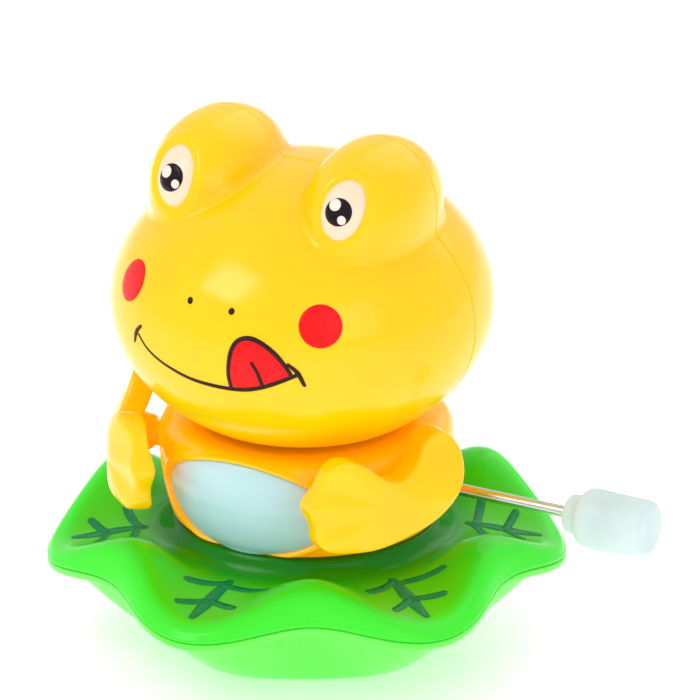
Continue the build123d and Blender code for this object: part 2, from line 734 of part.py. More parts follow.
# ---------------------------------------------------------------- winding shaft and knob
def winding_knob():
    collar = rod_x(WINDING_AXIS, KNOB_COLLAR_RADIUS, KNOB_COLLAR[0], KNOB_COLLAR[1] + 1)
    grip = rod_x(WINDING_AXIS, KNOB_RADIUS, *KNOB_BODY)
    grip = fillet(grip.edges().filter_by(GeomType.CIRCLE), 1.2)
    return collar + grip - rod_x(WINDING_AXIS, SHAFT_RADIUS, KNOB_COLLAR[0] - 1, SHAFT_END)


def build_parts():
    head_spots = side_spots(HEAD_SCREW_X, HEAD_SCREW_Z)
    body_spots = side_spots(BODY_SCREW_X, BODY_SCREW_Z)
    eye = eye_insert()
    arm = arm_left()
    clip = arm_clip()
    return {
        "leaf_top": leaf_top(),
        "base_bowl": base_bowl(),
        "base_screws": base_screws(),
        "body_front": body_front(),
        "body_rear": body_rear(),
        "body_screws": screws_y(body_spots, 11, 17),
        "belly_panel": belly_panel(),
        "head_front": head_front(),
        "head_rear": head_rear(),
        "head_screws": screws_y(head_spots, 16, 22),
        "eye_insert_left": eye,
        "eye_insert_right": mirrored(eye),
        "arm_left": arm,
        "arm_right": mirrored(arm),
        "arm_clip_left": clip,
        "arm_clip_right": mirrored(clip),
        "case_left": case_side(1),
        "case_right": case_side(-1),
        "case_pillars": case_pillars(),
        "mainspring": mainspring(),
        "winding_shaft": rod_x(WINDING_AXIS, SHAFT_RADIUS, SHAFT_START, SHAFT_END),
        "winding_knob": winding_knob(),
        "main_wheel": main_wheel(),
        "nod_cam": nod_cam(),
        "second_arbor": arbor(SECOND_AXIS, ARBOR_RADIUS),
        "second_wheel": second_wheel(),
        "third_arbor": arbor(THIRD_AXIS, ARBOR_RADIUS),
        "third_wheel": third_wheel(),
        "drive_axle": drive_axle(),
        "drive_pinion": drive_pinion(),
        "drive_hubs": Compound(children=[drive_hub(-1), drive_hub(1)]),
        "drive_tyres": Compound(children=[drive_tyre(-1), drive_tyre(1)]),
        "escape_arbor": arbor(ESCAPE_AXIS, ESCAPE_RADIUS),
        "escape_wheel": escape_wheel(),
        "pallet_arbor": arbor(PALLET_AXIS, ESCAPE_RADIUS),
        "pallet": pallet(),
        "head_lever": head_lever(),
        "head_pivot_pin": rod_x((0, PIVOT_HEIGHT), PIVOT_RADIUS, -PIVOT_HALF_LENGTH, PIVOT_HALF_LENGTH),
        "guide_bracket": guide_bracket(),
        "guide_pin": guide_pin(),
        "guide_wheel": guide_wheel(),
    }


os.makedirs("parts", exist_ok=True)
for name, part in build_parts().items():
    export_step(part, f"parts/{name}.step")
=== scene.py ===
"""A wind-up frog on a lily leaf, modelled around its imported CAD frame. Working lengths are in millimetres."""

import json
import math

import bmesh
import bpy
import numpy as np
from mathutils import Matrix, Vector
from mathutils.geometry import delaunay_2d_cdt


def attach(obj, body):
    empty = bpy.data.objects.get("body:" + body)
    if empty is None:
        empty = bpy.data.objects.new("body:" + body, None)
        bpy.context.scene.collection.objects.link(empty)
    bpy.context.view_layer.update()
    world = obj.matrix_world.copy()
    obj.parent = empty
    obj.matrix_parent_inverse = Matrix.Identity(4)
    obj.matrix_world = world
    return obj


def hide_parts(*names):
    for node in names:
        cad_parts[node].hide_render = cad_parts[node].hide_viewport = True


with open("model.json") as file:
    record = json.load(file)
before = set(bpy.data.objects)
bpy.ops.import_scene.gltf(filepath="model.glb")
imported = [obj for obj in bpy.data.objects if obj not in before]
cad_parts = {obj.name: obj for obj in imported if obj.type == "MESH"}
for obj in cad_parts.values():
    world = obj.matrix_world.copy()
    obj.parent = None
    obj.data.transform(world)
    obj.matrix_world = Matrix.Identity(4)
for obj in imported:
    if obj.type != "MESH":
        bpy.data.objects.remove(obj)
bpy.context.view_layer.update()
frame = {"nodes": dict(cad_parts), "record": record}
MM = 0.001

# ---- leaf
LEAF_RADIUS = 47.5
COLLAR_RADIUS = 24.7
COLLAR_FOOT = 5.75
COLLAR_FOOT_REACH = 1.7
LEAF_THICKNESS = 1.8
LIP_THICKNESS = 1.5
PARTING_LEVEL = 17.1
PARTING_WAVE = 1.4
NOTCH = 6.2
REAR_ANGLE = math.radians(120)
REAR_RISE = 2.6
FLOOR_RADIUS = 22.2
FLOOR_THICKNESS = 1.8
TURNS = 360

# ---- head
HEAD_CENTRE = np.array([0.0, -1.5, 67.2])
HEAD_SIZE = np.array([35.15, 35.15, 26.35])
DOME_CENTRE = np.array([16.0, -4.0, 88.5])
DOME_SIZE = np.array([11.3, 16.3, 13.2])
DOME_POWER = 2.15
DOME_BLEND = 1.4
STAR = np.array([0.0, 0.0, 70.0])
HEAD_BOTTOM = 46.0
EYE_CENTRE = np.array([17.5, -18.9, 94.0])
EYE_HALF = (4.05, 5.85)
EYE_TILT = math.radians(11)
EYE_PITCH = math.radians(26)

# ---- body
BODY_PROFILE = [
    (22.3, 18.4), (22.3, 24.2), (22.5, 24.8), (24.4, 25.2), (25.1, 26.5), (26.0, 30.0), (26.7, 34.0),
    (27.1, 38.5), (27.0, 41.0), (26.4, 42.6), (25.2, 43.7), (23.0, 44.1), (18.0, 44.2), (14.4, 44.3),
    (14.0, 44.8), (14.0, 47.0),
]
BELLY_HEIGHT = 33.8
BELLY_HALF = (17.6, 9.1)
BELLY_RECESS = 0.9
LIP_HEIGHT = 0.55

# ---- arms
ARM_YAW = math.radians(-28.8)
ARM_INNER = 31.6
ARM_THICKNESS = 5.0
ARM_PIVOT = (-10.5, 38.0)

WINDING_HEIGHT = 34.8

# ---- rear screws, (x, z) of each and the y of their seats
RECESS_RADIUS = 2.2
HEAD_SCREWS = [(22.0, 66.0), (-22.0, 66.0)]
HEAD_SEAT = 16.0
BODY_SCREWS = [(19.0, 28.5), (-19.0, 28.5)]
BODY_SEAT = 11.0


# ---- studio, in metres and the camera's target in millimetres
FLOOR_LEVEL = -0.0008
FLOOR_SIDES = 64
CAMERA_AZIMUTH = math.radians(28.84)
CAMERA_ELEVATION = math.radians(22.94)
CAMERA_DISTANCE = 4.0
CAMERA_LENS = 1124.2
CAMERA_TARGET = (6.95, 3.82, 55.9)


# ================================================================ materials
def srgb(r, g, b):
    """0-255 display colour to a linear RGBA."""
    channels = (c / 255 for c in (r, g, b))
    return tuple(c / 12.92 if c <= 0.04 else ((c + 0.055) / 1.055) ** 2.4 for c in channels) + (1.0,)


class Nodes:
    """A short way to write a material's node tree."""

    def __init__(self, name):
        self.material = bpy.data.materials.new(name)
        self.material.use_nodes = True
        self.tree = self.material.node_tree
        self.shader = self.tree.nodes["Principled BSDF"]

    def add(self, kind, **values):
        node = self.tree.nodes.new(kind)
        for key, value in values.items():
            if key in node.inputs:
                node.inputs[key].default_value = value
            else:
                setattr(node, key, value)
        return node

    def join(self, source, target):
        self.tree.links.new(source, target)

    def position(self):
        return self.add("ShaderNodeTexCoord").outputs["Object"]

    def noise(self, scale, detail=3.0, roughness=0.5, vector=None):
        node = self.add("ShaderNodeTexNoise", Scale=scale, Detail=detail, Roughness=roughness)
        self.join(vector or self.position(), node.inputs["Vector"])
        return node.outputs["Fac"]

    def ramp(self, value, stops):
        node = self.add("ShaderNodeValToRGB")
        ramp = node.color_ramp
        while len(ramp.elements) < len(stops):
            ramp.elements.new(0.5)
        for element, (place, colour) in zip(ramp.elements, stops):
            element.position = place
            element.color = colour
        self.join(value, node.inputs["Fac"])
        return node.outputs["Color"]

    def spread(self, value, low, high, out_low, out_high):
        node = self.add("ShaderNodeMapRange")
        for key, number in zip(("From Min", "From Max", "To Min", "To Max"), (low, high, out_low, out_high)):
            node.inputs[key].default_value = number
        self.join(value, node.inputs["Value"])
        return node.outputs["Result"]

    def mix(self, factor, first, second, blend="MIX"):
        node = self.add("ShaderNodeMix", data_type="RGBA", blend_type=blend)
        sockets = (node.inputs["Factor"], node.inputs[6], node.inputs[7])
        for socket, value in zip(sockets, (factor, first, second)):
            if isinstance(value, (tuple, float)):
                socket.default_value = value
            else:
                self.join(value, socket)
        return node.outputs[2]

    def math(self, operation, first, second):
        node = self.add("ShaderNodeMath", operation=operation)
        for socket, value in zip(node.inputs, (first, second)):
            if isinstance(value, float):
                socket.default_value = value
            else:
                self.join(value, socket)
        return node.outputs[0]

    def corner_shade(self, distance):
        node = self.add("ShaderNodeAmbientOcclusion", samples=8)
        node.inputs["Distance"].default_value = distance * MM
        return node.outputs["AO"]

    def bump(self, height, strength, distance):
        node = self.add("ShaderNodeBump", Strength=strength, Distance=distance * MM)
        self.join(height, node.inputs["Height"])
        self.join(node.outputs["Normal"], self.shader.inputs["Normal"])

    def set(self, **values):
        for key, value in values.items():
            socket = self.shader.inputs[key.replace("_", " ")]
            if hasattr(value, "is_linked"):
                self.join(value, socket)
            else:
                socket.default_value = value
        return self


def moulded(name, light, deep, shade, rough=0.22, glow=0.12, shade_distance=7.0, painted_corner_glow=0.3):
    """Glossy moulded plastic: slow colour drift, painted warm shade in the corners with a painted glow there,
    faint flow marks and haze.
    """
    n = Nodes(name)
    drift = n.noise(45.0, 2.0)
    colour = n.ramp(drift, [(0.30, deep), (0.70, light)])
    open_sky = n.corner_shade(shade_distance)
    # painted shade: the colour turns towards the shade colour where the corner occlusion is strong
    colour = n.mix(n.spread(open_sky, 0.25, 0.9, 0.85, 0.0), colour, shade)
    # painted glow: the shade colour is emitted in the occluded corners, standing in for light scattered through
    # the plastic
    n.set(Emission_Color=shade, Emission_Strength=n.spread(open_sky, 0.1, 0.85, painted_corner_glow, 0.0))
    n.set(Base_Color=colour, IOR=1.46, Specular_IOR_Level=0.42)
    n.set(Roughness=n.spread(n.noise(160.0, 4.0, 0.6), 0.35, 0.7, rough - 0.05, rough + 0.08))
    n.set(Subsurface_Weight=glow, Subsurface_Radius=(1.0, 0.55, 0.12), Subsurface_Scale=3.0 * MM)
    n.bump(n.noise(700.0, 3.0, 0.55), 0.05, 0.25)
    return n


def frog_yellow():
    # The orange third colour is painted shade in the corners, also emitted there as a painted glow.
    return moulded(
        "frog_yellow", srgb(255, 209, 0), srgb(255, 203, 0), srgb(255, 160, 0), rough=0.17, glow=0.15,
        shade_distance=14.0, painted_corner_glow=0.55
    ).material


def radius_of(n):
    """Distance from the leaf's middle, in mm, as a node value."""
    split = n.add("ShaderNodeSeparateXYZ")
    n.join(n.position(), split.inputs[0])
    square = n.math("ADD", n.math("MULTIPLY", split.outputs[0], split.outputs[0]),
                    n.math("MULTIPLY", split.outputs[1], split.outputs[1]))
    return n.math("MULTIPLY", n.math("SQRT", square, 0.0), 1000.0), split


def lobe_of(n, split):
    """1 in the middle of each lobe, 0 on each ridge."""
    angle = n.math("ARCTAN2", split.outputs[1], split.outputs[0])
    ripple = n.math("COSINE", n.math("MULTIPLY", angle, 6.0), 0.0)
    return n.spread(ripple, -1.0, 1.0, 1.0, 0.0)


def leaf_green():
    n = Nodes("leaf_green")
    radius, split = radius_of(n)
    lobe = lobe_of(n, split)
    rim = n.spread(lobe, 0.0, 1.0, LEAF_RADIUS - 6.2, LEAF_RADIUS)
    share = n.math("DIVIDE", n.math("SUBTRACT", radius, 24.0), n.math("SUBTRACT", rim, 24.0))
    # The ramp's dark stops near the collar are painted shade under the body; the green gets lighter towards the
    # rim.
    base = n.ramp(
        share,
        [(0.0, srgb(10, 120, 4)), (0.16, srgb(26, 152, 8)), (0.42, srgb(58, 205, 18)),
         (0.8, srgb(62, 214, 24)), (0.9, srgb(66, 230, 46)), (1.0, srgb(72, 236, 56))],
    )
    spray = n.math("MULTIPLY", n.spread(radius, 27.0, 33.0, 0.0, 1.0), n.spread(share, 0.9, 0.72, 0.0, 1.0))
    spray = n.math("MULTIPLY", spray, n.spread(lobe, 0.10, 0.75, 0.0, 1.0))
    spray = n.math("MULTIPLY", spray, n.spread(n.noise(90.0, 3.0), 0.25, 0.75, 0.45, 0.85))
    colour = n.mix(spray, base, srgb(86, 200, 8))
    # painted shade: deep green where the corner occlusion is strong
    colour = n.mix(n.spread(n.corner_shade(5.0), 0.3, 0.9, 0.7, 0.0), colour, srgb(14, 112, 8))
    n.set(Base_Color=colour, IOR=1.47, Specular_IOR_Level=0.22)
    n.set(Roughness=n.spread(n.noise(130.0, 4.0, 0.6), 0.3, 0.7, 0.12, 0.22))
    n.set(Subsurface_Weight=0.25, Subsurface_Radius=(0.3, 1.0, 0.25), Subsurface_Scale=4.0 * MM)
    n.bump(n.noise(420.0, 3.0, 0.5), 0.04, 0.3)
    return n.material


def shell_green():
    # The third, darker green is painted shade in the corners, also emitted there as a painted glow.
    n = moulded(
        "shell_green", srgb(112, 246, 88), srgb(92, 236, 66), srgb(70, 215, 60), rough=0.26, glow=0.3,
        shade_distance=5.0,
    )
    n.set(Subsurface_Radius=(0.4, 1.0, 0.4), Subsurface_Scale=5.0 * MM)
    return n.material


def print_ink(name, light, deep, rough=0.35):
    """Pad-printed ink: slightly uneven coverage and a faint satin surface."""
    n = Nodes(name)
    n.set(Base_Color=n.ramp(n.noise(900.0, 4.0, 0.6), [(0.3, deep), (0.7, light)]), Specular_IOR_Level=0.2)
    n.set(Roughness=n.spread(n.noise(1500.0, 3.0), 0.3, 0.7, rough - 0.08, rough + 0.08))
    n.bump(n.noise(2200.0, 3.0), 0.06, 0.08)
    return n.material


def knob_white():
    n = Nodes("knob_white")
    n.set(Base_Color=n.ramp(n.noise(120.0, 3.0), [(0.3, srgb(206, 226, 226)), (0.7, srgb(220, 236, 236))]))
    n.set(Roughness=n.spread(n.noise(500.0, 4.0), 0.3, 0.7, 0.36, 0.5), IOR=1.5)
    n.set(Subsurface_Weight=0.7, Subsurface_Radius=(0.8, 1.0, 1.0), Subsurface_Scale=4.0 * MM)
    n.set(Transmission_Weight=0.12)
    n.bump(n.noise(900.0, 4.0, 0.6), 0.08, 0.1)
    return n.material


def belly_blue():
    # The third, greyer blue is painted shade in the corners, also emitted there as a painted glow.
    return moulded(
        "belly_blue", srgb(192, 226, 233), srgb(180, 217, 226), srgb(120, 178, 172), rough=0.2, glow=0.15,
        shade_distance=6.0,
    ).material


def eye_cream():
    # The third, warmer cream is painted shade in the corners, also emitted there as a painted glow.
    return moulded(
        "eye_cream", srgb(255, 226, 198), srgb(250, 218, 188), srgb(238, 180, 130), rough=0.28, glow=0.2,
        shade_distance=2.0,
    ).material


def metal(name, light, deep, rough, streak=(1.0, 60.0, 60.0)):
    """Drawn or stamped metal with fine streaks along X."""
    n = Nodes(name)
    scale = n.add("ShaderNodeMapping")
    scale.inputs["Scale"].default_value = streak
    n.join(n.position(), scale.inputs["Vector"])
    lines = n.noise(300.0, 4.0, 0.6, scale.outputs["Vector"])
    n.set(Base_Color=n.ramp(lines, [(0.3, deep), (0.7, light)]), Metallic=1.0)
    n.set(Roughness=n.spread(lines, 0.3, 0.7, rough - 0.06, rough + 0.08))
    n.bump(lines, 0.08, 0.05)
    return n.material


def plain_moulding(name, light, deep, rough=0.45):
    """Unpainted functional plastic or rubber with a fine matte grain."""
    n = Nodes(name)
    n.set(Base_Color=n.ramp(n.noise(260.0, 4.0), [(0.3, deep), (0.7, light)]))
    n.set(Roughness=n.spread(n.noise(800.0, 3.0), 0.3, 0.7, rough - 0.08, rough + 0.1))
    n.bump(n.noise(1600.0, 4.0, 0.6), 0.12, 0.1)
    return n.material


MATERIALS = {
    "leaf_green": leaf_green(),
    "shell_green": shell_green(),
    "frog_yellow": frog_yellow(),
    "belly_blue": belly_blue(),
    "eye_cream": eye_cream(),
    "knob_white": knob_white(),
    "steel": metal("steel", srgb(222, 220, 214), srgb(186, 184, 180), 0.2),
    "screw_steel": metal("screw_steel", srgb(190, 192, 196), srgb(150, 152, 156), 0.3),
    "spring_steel": metal("spring_steel", srgb(120, 126, 138), srgb(84, 90, 102), 0.35),
    "gear_brass": metal("gear_brass", srgb(226, 190, 110), srgb(196, 158, 84), 0.3),
    "case_plastic": plain_moulding("case_plastic", srgb(232, 232, 226), srgb(214, 214, 208)),
    "gear_nylon": plain_moulding("gear_nylon", srgb(244, 244, 238), srgb(228, 228, 222), 0.4),
    "hub_plastic": plain_moulding("hub_plastic", srgb(52, 52, 56), srgb(38, 38, 42)),
    "tyre_rubber": plain_moulding("tyre_rubber", srgb(40, 40, 42), srgb(26, 26, 28), 0.7),
}
INK_BLACK = print_ink("ink_black", srgb(58, 26, 16), srgb(38, 16, 10))
INK_PUPIL = print_ink("ink_pupil", srgb(30, 20, 26), srgb(16, 10, 14), 0.2)
INK_RED = print_ink("ink_red", srgb(255, 22, 26), srgb(246, 8, 16), 0.3)
INK_WHITE = print_ink("ink_white", srgb(255, 236, 220), srgb(248, 226, 208), 0.3)
INK_TEAL = print_ink("ink_teal", srgb(0, 138, 74), srgb(0, 124, 62), 0.3)


# ================================================================ mesh tools
def make_piece(name, points, faces, material, body, stands_for=()):
    """A smooth-shaded mesh piece from points in mm, riding on a CAD body."""
    mesh = bpy.data.meshes.new(name)
    mesh.from_pydata([tuple(float(c) * MM for c in p) for p in points], [], faces)
    work = bmesh.new()
    work.from_mesh(mesh)
    bmesh.ops.remove_doubles(work, verts=work.verts, dist=1e-7)
    bmesh.ops.recalc_face_normals(work, faces=work.faces)
    work.to_mesh(mesh)
    work.free()
    return place_mesh(name, mesh, material, body, stands_for)


def place_mesh(name, mesh, material, body, stands_for=()):
    """Shows a mesh on a CAD body, in place of the named CAD nodes."""
    mesh.materials.clear()
    mesh.materials.append(material)
    mesh.polygons.foreach_set("use_smooth", [True] * len(mesh.polygons))
    piece = bpy.data.objects.new(name, mesh)
    bpy.context.scene.collection.objects.link(piece)
    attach(piece, body)
    if stands_for:
        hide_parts(*stands_for)
    return piece


def baked_mesh(obj):
    """The object's mesh with its modifiers applied; the object itself is removed."""
    mesh = bpy.data.meshes.new_from_object(obj.evaluated_get(bpy.context.evaluated_depsgraph_get()))
    bpy.data.objects.remove(obj)
    return mesh


def grid_faces(rows, columns, wrap_rows=False, wrap_columns=False):
    """Quads between the points of a rows x columns grid."""
    faces = []
    for i in range(rows if wrap_rows else rows - 1):
        for j in range(columns if wrap_columns else columns - 1):
            a = i * columns + j
            b = i * columns + (j + 1) % columns
            c = ((i + 1) % rows) * columns + (j + 1) % columns
            d = ((i + 1) % rows) * columns + j
            faces.append((a, b, c, d))
    return faces


def lathe(profile_at, turns=TURNS, closed=True):
    """Points and faces of a surface whose (r, z) profile may change with the angle."""
    points = []
    for k in range(turns):
        angle = 2 * math.pi * k / turns
        points += [(r * math.cos(angle), r * math.sin(angle), z) for r, z in profile_at(angle)]
    return points, grid_faces(turns, len(points) // turns, True, closed)


def catmull_rom(a, b, c, d, t):
    """Point at t on the smooth curve from b to c."""
    square = (2 * a - 5 * b + 4 * c - d) * t**2
    return 0.5 * ((2 * b) + (c - a) * t + square + (3 * b - a - 3 * c + d) * t**3)


def smooth_line(points, count):
    """Smooth curve through the points, evenly sampled by length."""
    p = np.array(points, float)
    p = np.vstack([2 * p[0] - p[1], p, 2 * p[-1] - p[-2]])
    out = []
    for i in range(1, len(p) - 2):
        for t in np.linspace(0, 1, 24, endpoint=False):
            out.append(catmull_rom(p[i - 1], p[i], p[i + 1], p[i + 2], t))
    out.append(p[-2])
    out = np.array(out)
    length = np.concatenate([[0], np.cumsum(np.linalg.norm(np.diff(out, axis=0), axis=1))])
    steps = np.linspace(0, length[-1], count)
    return np.stack([np.interp(steps, length, out[:, k]) for k in range(p.shape[1])], axis=1)


def smooth_loop(points, per_span=8):
    """Closed smooth loop through the points."""
    p = np.array(points, float)
    n = len(p)
    out = []
    for i in range(n):
        for t in np.linspace(0, 1, per_span, endpoint=False):
            out.append(catmull_rom(p[i - 1], p[i], p[(i + 1) % n], p[(i + 2) % n], t))
    return np.array(out)


def smoothstep(low, high, value):
    """0 below low, 1 above high, smooth between."""
    t = np.clip((value - low) / (high - low), 0, 1)
    return t * t * (3 - 2 * t)


# ================================================================ leaf and lower shell
def ripple(angle):
    """1 on each of the six ridges, -1 in the middle of each lobe."""
    return math.cos(6 * angle)


def rear(angle):
    """How far the leaf's place is towards its higher back ridges."""
    return float(smoothstep(0.0, 1.0, (1 + math.cos(angle - REAR_ANGLE)) / 2))


def rim_radius(angle):
    return LEAF_RADIUS - NOTCH / 2 * (1 + ripple(angle)) * (1 - 0.5 * rear(angle))


def parting_level(angle):
    return PARTING_LEVEL + PARTING_WAVE * ripple(angle) + rear(angle) * (1 + ripple(angle))


# Height of the leaf over its fraction of the way from the collar to the rim
ALONG = [0.0, 0.12, 0.23, 0.36, 0.50, 0.65, 0.78, 0.87, 0.94, 0.98, 1.0]
LOBE = [18.6, 20.2, 20.7, 20.5, 19.9, 19.2, 18.8, 18.5, 17.9, 17.2, 16.4]
RIDGE = [18.6, 20.3, 21.6, 23.2, 24.6, 25.3, 25.0, 24.1, 22.4, 20.7, 19.4]


def soft_table(along, table):
    """Smooth reading of a table over ALONG."""
    k = min(max(int(np.searchsorted(ALONG, along)) - 1, 0), len(ALONG) - 2)
    t = (along - ALONG[k]) / (ALONG[k + 1] - ALONG[k])
    a, b = table[max(k - 1, 0)], table[k]
    c, d = table[k + 1], table[min(k + 2, len(table) - 1)]
    span_a = ALONG[k + 1] - ALONG[max(k - 1, 0)]
    span_b = ALONG[min(k + 2, len(ALONG) - 1)] - ALONG[k]
    step = ALONG[k + 1] - ALONG[k]
    m0, m1 = (c - a) / span_a * step, (d - b) / span_b * step
    start, end = 2 * t**3 - 3 * t**2 + 1, 3 * t**2 - 2 * t**3
    return start * b + (t**3 - 2 * t**2 + t) * m0 + end * c + (t**3 - t**2) * m1


def leaf_level(radius, angle):
    """Height of the leaf's upper face."""
    along = min(max((radius - COLLAR_RADIUS) / (rim_radius(angle) - COLLAR_RADIUS), 0.0), 1.0)
    weight = (1 + ripple(angle)) / 2
    collar_foot = COLLAR_FOOT * math.exp(-(radius - COLLAR_RADIUS) / COLLAR_FOOT_REACH)
    ridge = soft_table(along, RIDGE) + REAR_RISE * rear(angle) * float(smoothstep(0.1, 0.6, along))
    return soft_table(along, LOBE) * (1 - weight) + ridge * weight + collar_foot


def leaf_profile(angle):
    """Closed (r, z) outline of the leaf's section, from the ledge over the collar to the rim and back."""
    rim_r = rim_radius(angle)
    collar = [
        (19.0, 16.5), (19.0, 18.3), (22.55, 18.3), (22.55, 24.0), (22.75, 24.4), (23.2, 24.65), (23.8, 24.7),
        (24.3, 24.6),
    ]
    shares = np.concatenate([np.linspace(0, 0.11, 9), np.linspace(0.14, 0.86, 30), np.linspace(0.88, 1.0, 9)])
    width = rim_r - COLLAR_RADIUS
    top = [(r, leaf_level(r, angle)) for r in COLLAR_RADIUS + shares * width]
    low = parting_level(angle)
    edge = ((0.18, 0.55), (0.15, 0.2), (0.0, 0.05), (-0.4, 0.02))
    rim = [(rim_r + out, low + up) for out, up in edge]
    under = [(rim_r - 4.5, low + 0.02)]
    under_radii = [COLLAR_RADIUS + share * width for share in (0.72, 0.5, 0.28)]
    under += [(r, leaf_level(r, angle) - LEAF_THICKNESS) for r in under_radii]
    return collar + top + rim + under + [(26.5, 17.6), (25.0, 17.0)]


def bowl_level(radius, angle):
    """Height of the lower shell's outer face."""
    part = max(radius - FLOOR_RADIUS, 0) / (rim_radius(angle) - 4.4 - FLOOR_RADIUS)
    return (parting_level(angle) - 1.7) * part**1.6


def bowl_profile(angle):
    """(r, z) outline of the lower shell, from the middle of the floor out to the lip and back inside."""
    low = parting_level(angle) - 0.1
    rim_r = rim_radius(angle)
    wall_end = rim_r - 4.6
    outside = [(0.0, 0.0), (8.0, 0.0), (15.0, 0.0), (20.0, 0.0), (21.4, 0.0)]
    outside += [(r, bowl_level(r, angle)) for r in np.linspace(FLOOR_RADIUS, wall_end, 34)]
    shoulder = ((4.2, 1.75), (3.6, 1.6), (2.6, 1.52), (1.4, LIP_THICKNESS))
    outside += [(rim_r - inset, low - drop) for inset, drop in shoulder]
    half = LIP_THICKNESS / 2
    quarter = np.linspace(0, math.pi / 2, 6)
    lip = [(rim_r - 0.6 + half * math.sin(t), low - half - half * math.cos(t)) for t in quarter]
    lip += [(rim_r + 0.15, low - 0.3), (rim_r + 0.02, low - 0.08), (rim_r - 0.45, low)]
    inside = [(rim_r - 4.0, low)]
    inner_radii = np.linspace(wall_end - 1.6, FLOOR_RADIUS, 12)
    inside += [(r, bowl_level(r, angle) + FLOOR_THICKNESS) for r in inner_radii]
    return outside + lip + inside + [(15.0, FLOOR_THICKNESS), (0.0, FLOOR_THICKNESS)]


def cutter(points, faces):
    mesh = bpy.data.meshes.new("cutter")
    mesh.from_pydata([tuple(c * MM for c in p) for p in points], [], faces)
    obj = bpy.data.objects.new("cutter", mesh)
    bpy.context.scene.collection.objects.link(obj)
    return obj


def prism(outline, low, high):
    n = len(outline)
    points = [(x, y, low) for x, y in outline] + [(x, y, high) for x, y in outline]
    faces = [tuple(reversed(range(n))), tuple(range(n, 2 * n))]
    faces += [(k, (k + 1) % n, n + (k + 1) % n, n + k) for k in range(n)]
    return points, faces


def drill(piece, cuts, folded=False):
    """The piece's mesh with its modifiers applied and closed forms cut out.

    folded says that the piece's walls touch each other, which needs the simpler solver."""
    solid = baked_mesh(piece)
    work = bmesh.new()
    work.from_mesh(solid)
    bmesh.ops.recalc_face_normals(work, faces=work.faces)
    work.to_mesh(solid)
    work.free()
    piece = bpy.data.objects.new("drilled", solid)
    bpy.context.scene.collection.objects.link(piece)
    tools = [cutter(*cut) for cut in cuts]
    for tool in tools:
        cut = piece.modifiers.new("cut", "BOOLEAN")
        cut.object = tool
        cut.operation = "DIFFERENCE"
        cut.solver = "FAST" if folded else "EXACT"
    mesh = baked_mesh(piece)
    for tool in tools:
        bpy.data.objects.remove(tool)
    return mesh


def bore_x(spot, radius, low, high):
    """Closed round rod along X at (y, z)."""
    points, faces = prism(round_outline(spot, radius), low, high)
    return [(x, y, z) for y, z, x in points], faces


def bore_y(spot, radius, low, high):
    """Closed round rod along Y at (x, z)."""
    points, faces = prism(round_outline(spot, radius), low, high)
    return [(x, y, z) for x, z, y in points], [tuple(reversed(face)) for face in faces]


def screw_cup(name, spot, seat, surface_at, body):
    """Sleeve of a screw recess, from its seat out to the skin around it."""
    rings = [(0.01, None), (RECESS_RADIUS, None), (RECESS_RADIUS, 0.25), (RECESS_RADIUS + 0.7, 0.35),
             (RECESS_RADIUS + 0.7, None), (0.01, None)]
    floors = [seat, seat, None, None, seat - 0.8, seat - 0.8]
    points = []
    for k in range(40):
        t = 2 * math.pi * k / 40
        for (radius, below), floor in zip(rings, floors):
            x, z = spot[0] + radius * math.cos(t), spot[1] + radius * math.sin(t)
            points.append((x, floor if below is None else surface_at(x, z) - below, z))
    return make_piece(name, points, grid_faces(40, len(rings), True, False), MATERIALS["frog_yellow"], body)


def rounded_slot(centre, half_x, half_y, yaw=0.0, corner=0.5):
    outline = []
    for sx, sy, turn in ((1, 1, 0), (-1, 1, 90), (-1, -1, 180), (1, -1, 270)):
        for step in range(4):
            a = math.radians(turn + 30 * step)
            x = sx * (half_x - corner) + corner * math.cos(a)
            y = sy * (half_y - corner) + corner * math.sin(a)
            outline.append((x, y))
    c, s = math.cos(yaw), math.sin(yaw)
    return [(centre[0] + c * x - s * y, centre[1] + s * x + c * y) for x, y in outline]


def round_outline(centre, radius, count=40):
    angles = [2 * math.pi * k / count for k in range(count)]
    return [(centre[0] + radius * math.cos(a), centre[1] + radius * math.sin(a)) for a in angles]


def build_leaf():
    points, faces = lathe(leaf_profile)
    make_piece("leaf_skin", points, faces, MATERIALS["leaf_green"], "base", ("leaf_top",))


def build_bowl():
    points, faces = lathe(bowl_profile, closed=False)
    piece = make_piece("shell_blank", points, faces, MATERIALS["shell_green"], "base")
    holes = [rounded_slot((side * 11.6, 6.0), 2.4, 6.2) for side in (-1, 1)]
    holes.append(rounded_slot((0, -15.6), 2.1, 4.4, math.radians(20)))
    screws = [(11.2, -9.8), (-11.2, -9.8), (6.2, 11.3), (-6.2, 11.3)]
    screws += [(20.3 * math.cos(math.radians(a)), 20.3 * math.sin(math.radians(a))) for a in (90, 199, 341)]
    cuts = [prism(hole, -1, 5) for hole in holes]
    cuts += [prism(round_outline(spot, 2.15), -1, 1.1) for spot in screws]
    mesh = drill(piece, cuts)
    place_mesh("lower_shell", mesh, MATERIALS["shell_green"], "base", ("base_bowl",))


def fill_loop(loop, step):
    """Triangles that fill a 2-D loop with inner points every step."""
    loop = [Vector((float(a), float(b))) for a, b in loop]
    n = len(loop)
    low = np.min([tuple(p) for p in loop], axis=0)
    high = np.max([tuple(p) for p in loop], axis=0)
    inner = []
    polygon = np.array([tuple(p) for p in loop])
    for a in np.arange(low[0] + step / 2, high[0], step):
        for b in np.arange(low[1] + step / 2, high[1], step):
            if inside(polygon, a, b) and np.min(np.hypot(polygon[:, 0] - a, polygon[:, 1] - b)) > step * 0.45:
                inner.append(Vector((float(a), float(b))))
    edges = [(k, (k + 1) % n) for k in range(n)]
    points, _, faces, *_ = delaunay_2d_cdt(loop + inner, edges, [], 1, 1e-6)
    return [tuple(p) for p in points], [tuple(f) for f in faces]


